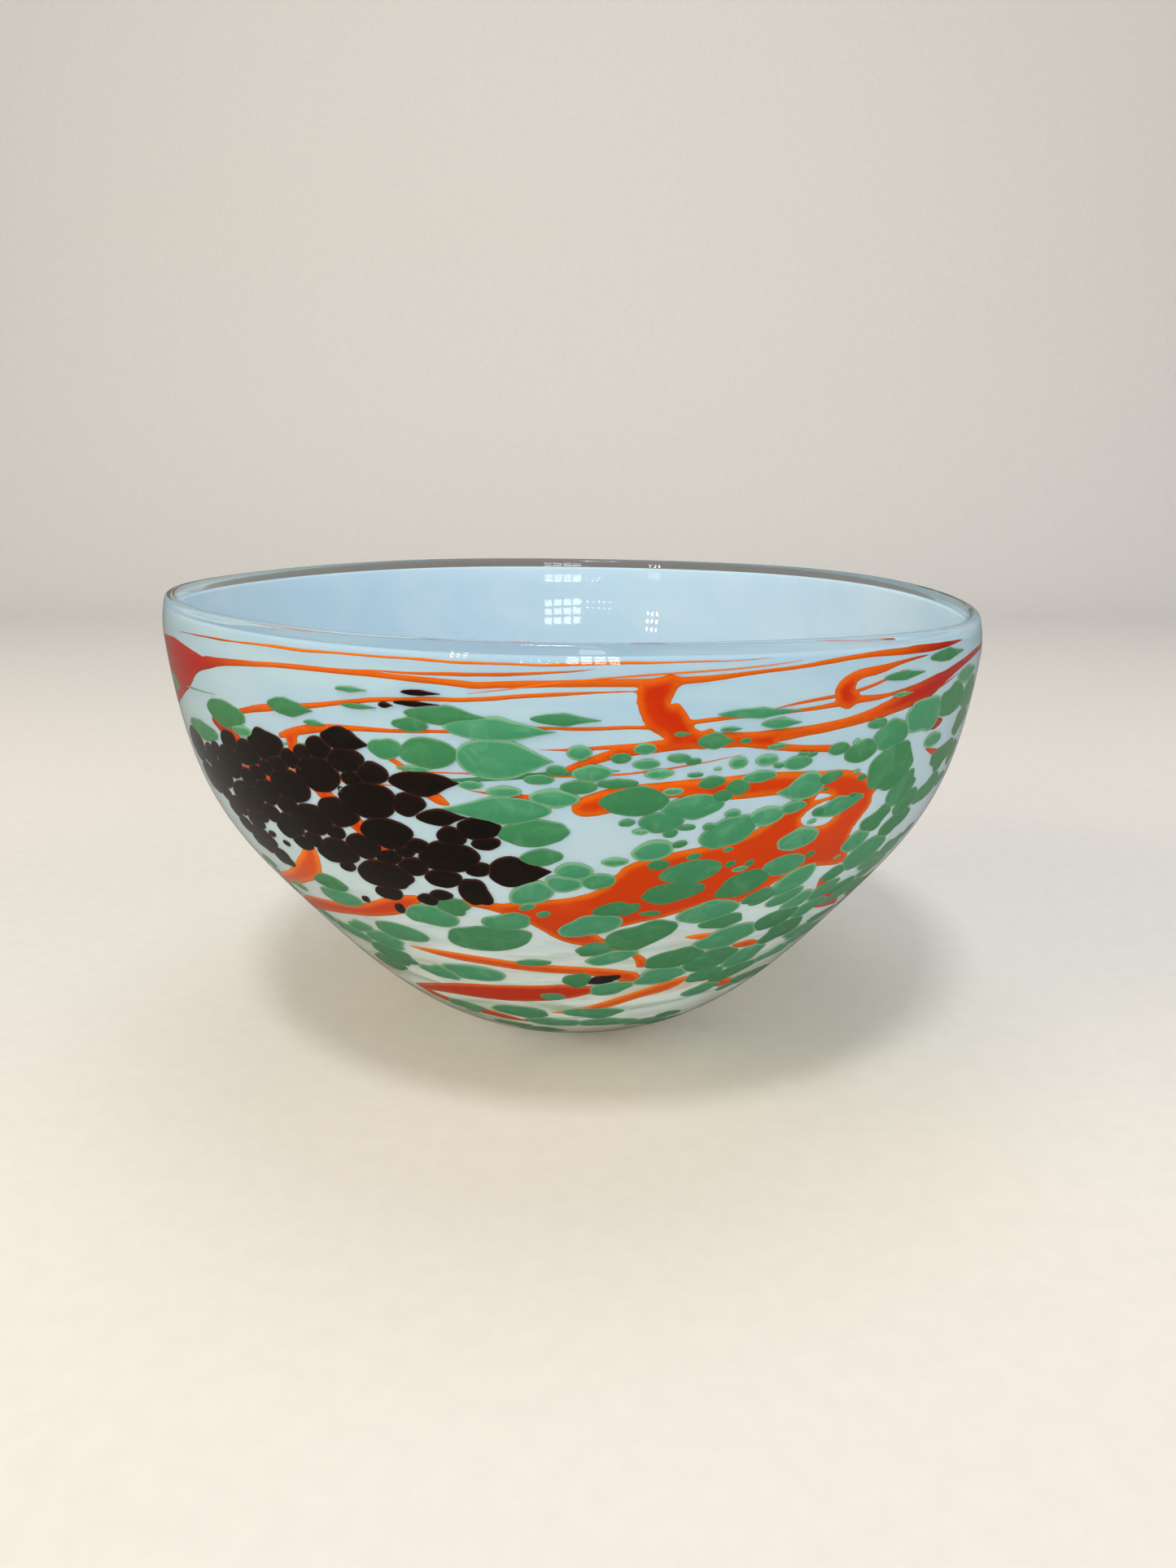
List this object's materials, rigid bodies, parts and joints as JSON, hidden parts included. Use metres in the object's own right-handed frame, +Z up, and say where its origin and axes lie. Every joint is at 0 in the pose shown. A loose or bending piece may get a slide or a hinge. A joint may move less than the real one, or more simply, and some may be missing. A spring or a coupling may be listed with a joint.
{
  "type": "art glass bowl",
  "caption": "Hand-blown open bowl of cased glass: opal white lining, orange trails, green and near-black chips under clear glass, on a small flat foot.",
  "frame": {"origin": "centre of the flat foot, on the surface the bowl stands on", "axes": "+Z up through the mouth, -Y towards the front with the dark cluster on its left, +X right"},
  "size_m": [0.2397, 0.2398, 0.1332],
  "materials": {
    "opal_glass": "glossy opal white glass",
    "clear_glass": "clear glass, fire polished",
    "orange_glass": "opaque orange-red glass",
    "green_glass": "opaque jade green glass",
    "aubergine_glass": "near-black aubergine glass"
  },
  "bodies": {
    "root": {"opal_lining": "opal_glass", "clear_casing": "clear_glass", "orange_trails": "orange_glass", "green_frit": "green_glass", "aubergine_frit": "aubergine_glass"}
  },
  "joints": []
}
